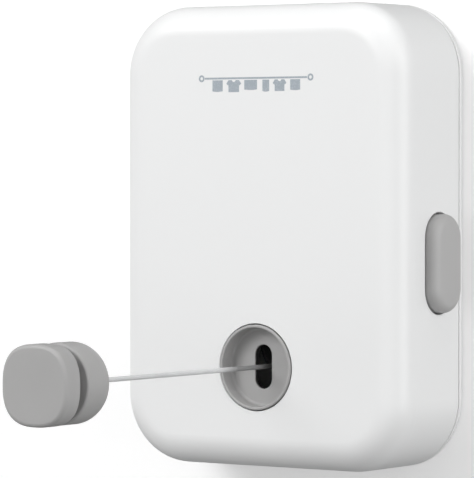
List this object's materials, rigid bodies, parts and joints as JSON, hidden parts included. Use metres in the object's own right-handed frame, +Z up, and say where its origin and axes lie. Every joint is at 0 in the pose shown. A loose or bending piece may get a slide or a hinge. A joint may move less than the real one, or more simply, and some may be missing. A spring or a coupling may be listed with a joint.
{
  "type": "retractable clothesline",
  "caption": "Wall-mounted retractable clothesline: rounded case with a spring drum, a line pulled straight out by a knob, and a side button that locks the drum.",
  "frame": {"origin": "centre of the wall bracket's rear face, where the part meets the wall; level with the middle of the case's height and width", "axes": "+Y into the wall, so the front faces -Y and the line pulls out along -Y; +Z up; +X to the right, the side with the lock button"},
  "size_m": [0.0969, 0.1279, 0.126],
  "materials": {
    "white_case": "moulded ABS, satin gloss white",
    "grey_plastic": "moulded ABS, fine matt grey",
    "inner_plastic": "moulded, black",
    "acetal": "turned or moulded black acetal",
    "zinc_steel": "zinc-plated steel",
    "bright_steel": "ground steel",
    "spring_steel": "blued spring strip and wire",
    "line_cord": "coated braided polyester, light grey"
  },
  "bodies": {
    "case": {"front_shell": "white_case", "rear_cover": "white_case", "wall_bracket": "zinc_steel", "case_screw_1": "zinc_steel", "case_screw_2": "zinc_steel", "case_screw_3": "zinc_steel", "case_screw_4": "zinc_steel", "axle_screw": "zinc_steel", "outlet_cup": "grey_plastic", "cup_screw_1": "zinc_steel", "cup_screw_2": "zinc_steel", "pulley_yoke": "inner_plastic", "pulley_pin": "zinc_steel", "pin_clip": "zinc_steel", "yoke_screw_1": "zinc_steel", "yoke_screw_2": "zinc_steel", "axle": "bright_steel", "pawl_pin": "zinc_steel", "pawl_spring": "spring_steel", "button_spring": "spring_steel", "line": "line_cord"},
    "drum": {"drum": "inner_plastic", "drum_flange": "inner_plastic", "ratchet_ring": "inner_plastic", "spring_cup": "inner_plastic", "spring_cover": "inner_plastic", "mainspring": "spring_steel", "bush_rear": "acetal", "bush_front": "acetal", "line_winding": "line_cord", "line_anchor": "line_cord"},
    "pulley": {"guide_pulley": "acetal"},
    "knob": {"pull_dome": "grey_plastic", "pull_neck": "grey_plastic", "pull_plate": "grey_plastic", "line_ferrule": "zinc_steel"},
    "button": {"lock_button": "grey_plastic"},
    "pawl": {"pawl": "bright_steel"}
  },
  "joints": [
    {"name": "knob_pull", "type": "slide", "parent": "case", "child": "knob", "axis": [0, -1, 0], "range_m": [-0.07666, 4.11381], "deforming": ["line"]},
    {"name": "drum_spin", "type": "hinge", "parent": "case", "child": "drum", "pos_m": [0.002, -0.01115, 0.02], "axis": [0, -1, 0], "range_deg": [-180, 9660], "stiffness_Nm_per_rad": 0.00046, "deforming": ["mainspring"]},
    {"name": "pulley_spin", "type": "hinge", "parent": "case", "child": "pulley", "pos_m": [-0.00203, -0.01615, -0.03093], "axis": [-0.9136, 0, -0.4067], "range_deg": [-878.9, 47141.3]},
    {"name": "button_press", "type": "slide", "parent": "case", "child": "button", "axis": [-1, 0, 0], "range_m": [0, 0.002], "stiffness_N_per_m": 600, "springref_m": -0.002, "deforming": ["button_spring"]},
    {"name": "pawl_swing", "type": "hinge", "parent": "case", "child": "pawl", "pos_m": [0.03934, -0.01845, 0.00388], "axis": [0, 1, 0], "range_deg": [0, 9.6], "deforming": ["pawl_spring"]}
  ],
  "couplings": [
    {"joint": "knob_pull", "follows": "drum_spin", "m_per_rad": 0.0244},
    {"joint": "pulley_spin", "follows": "drum_spin", "ratio": 4.88},
    {"joint": "pawl_swing", "follows": "button_press", "rad_per_m": 82.5}
  ]
}
